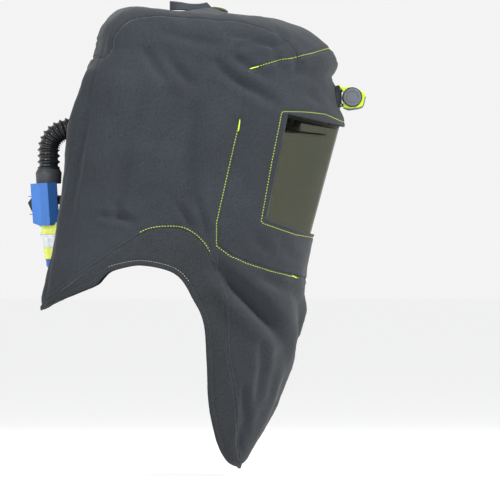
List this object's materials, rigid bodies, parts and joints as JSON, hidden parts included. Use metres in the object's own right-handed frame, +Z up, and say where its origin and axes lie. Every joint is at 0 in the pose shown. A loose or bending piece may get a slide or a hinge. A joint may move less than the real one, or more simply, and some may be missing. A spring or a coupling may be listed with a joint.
{
  "type": "ventilated protective hood",
  "caption": "Ventilated protective hood of quilted cloth over a hard hat, with a curved tinted lens, brow lamp, rear air hose, blower with rocker switch and battery pouch.",
  "frame": {"origin": "middle of the hard hat's headband, where the wearer's head sits", "axes": "+X the way the wearer faces, +Y the wearer's left, +Z up"},
  "size_m": [0.5236, 0.3184, 0.7235],
  "materials": {
    "cloth": "matte quilted flame-resistant weave",
    "facing_cloth": "matte weave, a shade darker",
    "webbing": "ribbed webbing",
    "tinted_lens": "polished tinted polycarbonate",
    "black_plastic": "moulded, fine texture",
    "rivet_metal": "satin",
    "hat_plastic": "smooth moulded shell",
    "sweatband": "soft padded",
    "hose_rubber": "glossy corrugated",
    "cuff_rubber": "satin",
    "duct_cloth": "coated cloth",
    "blue_plastic": "satin moulded",
    "filter_felt": "felt",
    "motor_metal": "satin can",
    "board": "lacquered",
    "pouch_cloth": "nylon weave",
    "tape_yellow": "fluorescent tape",
    "tape_silver": "retroreflective tape",
    "cell_sleeve": "shrink sleeve",
    "lime_plastic": "moulded",
    "grey_plastic": "satin moulded",
    "lamp_window": "clear",
    "reflector": "bright"
  },
  "bodies": {
    "root": {"crown_panel": "cloth", "back_panel": "cloth", "side_panel_left": "cloth", "side_panel_right": "cloth", "window_panel": "cloth", "front_bib": "cloth", "shoulder_band_left": "facing_cloth", "shoulder_band_right": "facing_cloth", "hang_loop_tab": "webbing", "crown_straps": "webbing", "lens": "tinted_lens", "lens_rail_top": "black_plastic", "lens_rail_bottom": "black_plastic", "lens_bracket": "black_plastic", "headband": "black_plastic", "ratchet_housing": "black_plastic", "suspension_keys": "black_plastic", "hose_port": "black_plastic", "port_nut": "black_plastic", "brow_manifold": "black_plastic", "fan_housing": "black_plastic", "intake_grille": "black_plastic", "blower_hanger": "black_plastic", "switch_frame": "black_plastic", "lamp_base": "black_plastic", "lamp_backing_plate": "black_plastic", "lens_rivets": "rivet_metal", "case_screws": "rivet_metal", "lamp_screws": "rivet_metal", "lamp_hinge_pin": "rivet_metal", "hat_shell": "hat_plastic", "brow_pad": "sweatband", "air_hose": "hose_rubber", "hose_cuff": "cuff_rubber", "inner_duct": "duct_cloth", "blower_case_rear": "blue_plastic", "blower_case_front": "blue_plastic", "intake_filter": "filter_felt", "blower_motor": "motor_metal", "control_board": "board", "battery_pouch": "pouch_cloth", "pouch_tape_yellow": "tape_yellow", "pouch_tape_silver": "tape_silver", "battery_pack": "cell_sleeve", "lamp_release_tab": "lime_plastic"},
    "lamp_head": {"lamp_body": "lime_plastic", "lamp_bezel": "grey_plastic", "lamp_lens": "lamp_window", "lamp_reflector": "reflector", "lamp_barrel": "black_plastic", "lamp_battery": "cell_sleeve", "lamp_cap_left": "grey_plastic"},
    "lamp_cap": {"lamp_cap_right": "grey_plastic"},
    "lamp_button": {"lamp_button": "grey_plastic"},
    "rocker": {"rocker_switch": "black_plastic"},
    "fan": {"impeller": "black_plastic"},
    "knob": {"ratchet_knob": "black_plastic"},
    "strap_left": {"nape_strap_left": "black_plastic"},
    "strap_right": {"nape_strap_right": "black_plastic"},
    "loop": {"hang_loop": "webbing"}
  },
  "joints": [
    {"name": "lamp_tilt", "type": "hinge", "parent": "root", "child": "lamp_head", "pos_m": [0.1876, 0, 0.0306], "axis": [0, 1, 0], "range_deg": [0, 35]},
    {"name": "lamp_cap_turn", "type": "hinge", "parent": "lamp_head", "child": "lamp_cap", "pos_m": [0.2046, -0.0343, 0.0426], "axis": [0, -1, 0], "range_deg": [0, 90]},
    {"name": "lamp_button_press", "type": "slide", "parent": "lamp_head", "child": "lamp_button", "axis": [0, -1, 0], "range_m": [0, 0.0012], "stiffness_N_per_m": 400},
    {"name": "rocker_tip", "type": "hinge", "parent": "root", "child": "rocker", "pos_m": [-0.28916, 0, -0.12369], "axis": [0, 1, 0], "range_deg": [0, 16]},
    {"name": "fan_spin", "type": "hinge", "parent": "root", "child": "fan", "pos_m": [-0.27087, 0, -0.12749], "axis": [0.9978, 0, 0.0663], "continuous": true},
    {"name": "ratchet_turn", "type": "hinge", "parent": "root", "child": "knob", "pos_m": [-0.09801, 0, 0.00025], "axis": [-0.9945, 0, 0.1045], "range_deg": [-90, 90]},
    {"name": "nape_strap_left_slide", "type": "hinge", "parent": "root", "child": "strap_left", "pos_m": [-0.02924, 0, 0.00307], "axis": [0.1045, 0, 0.9945], "range_deg": [-6, 6]},
    {"name": "nape_strap_right_slide", "type": "hinge", "parent": "root", "child": "strap_right", "pos_m": [-0.02924, 0, 0.00307], "axis": [0.1045, 0, 0.9945], "range_deg": [-6, 6]},
    {"name": "loop_swing", "type": "hinge", "parent": "root", "child": "loop", "pos_m": [-0.018, 0, 0.1786], "axis": [0, 1, 0], "range_deg": [0, 95]}
  ],
  "couplings": [
    {"joint": "nape_strap_left_slide", "follows": "ratchet_turn", "ratio": -0.0594},
    {"joint": "nape_strap_right_slide", "follows": "ratchet_turn", "ratio": 0.0594}
  ]
}
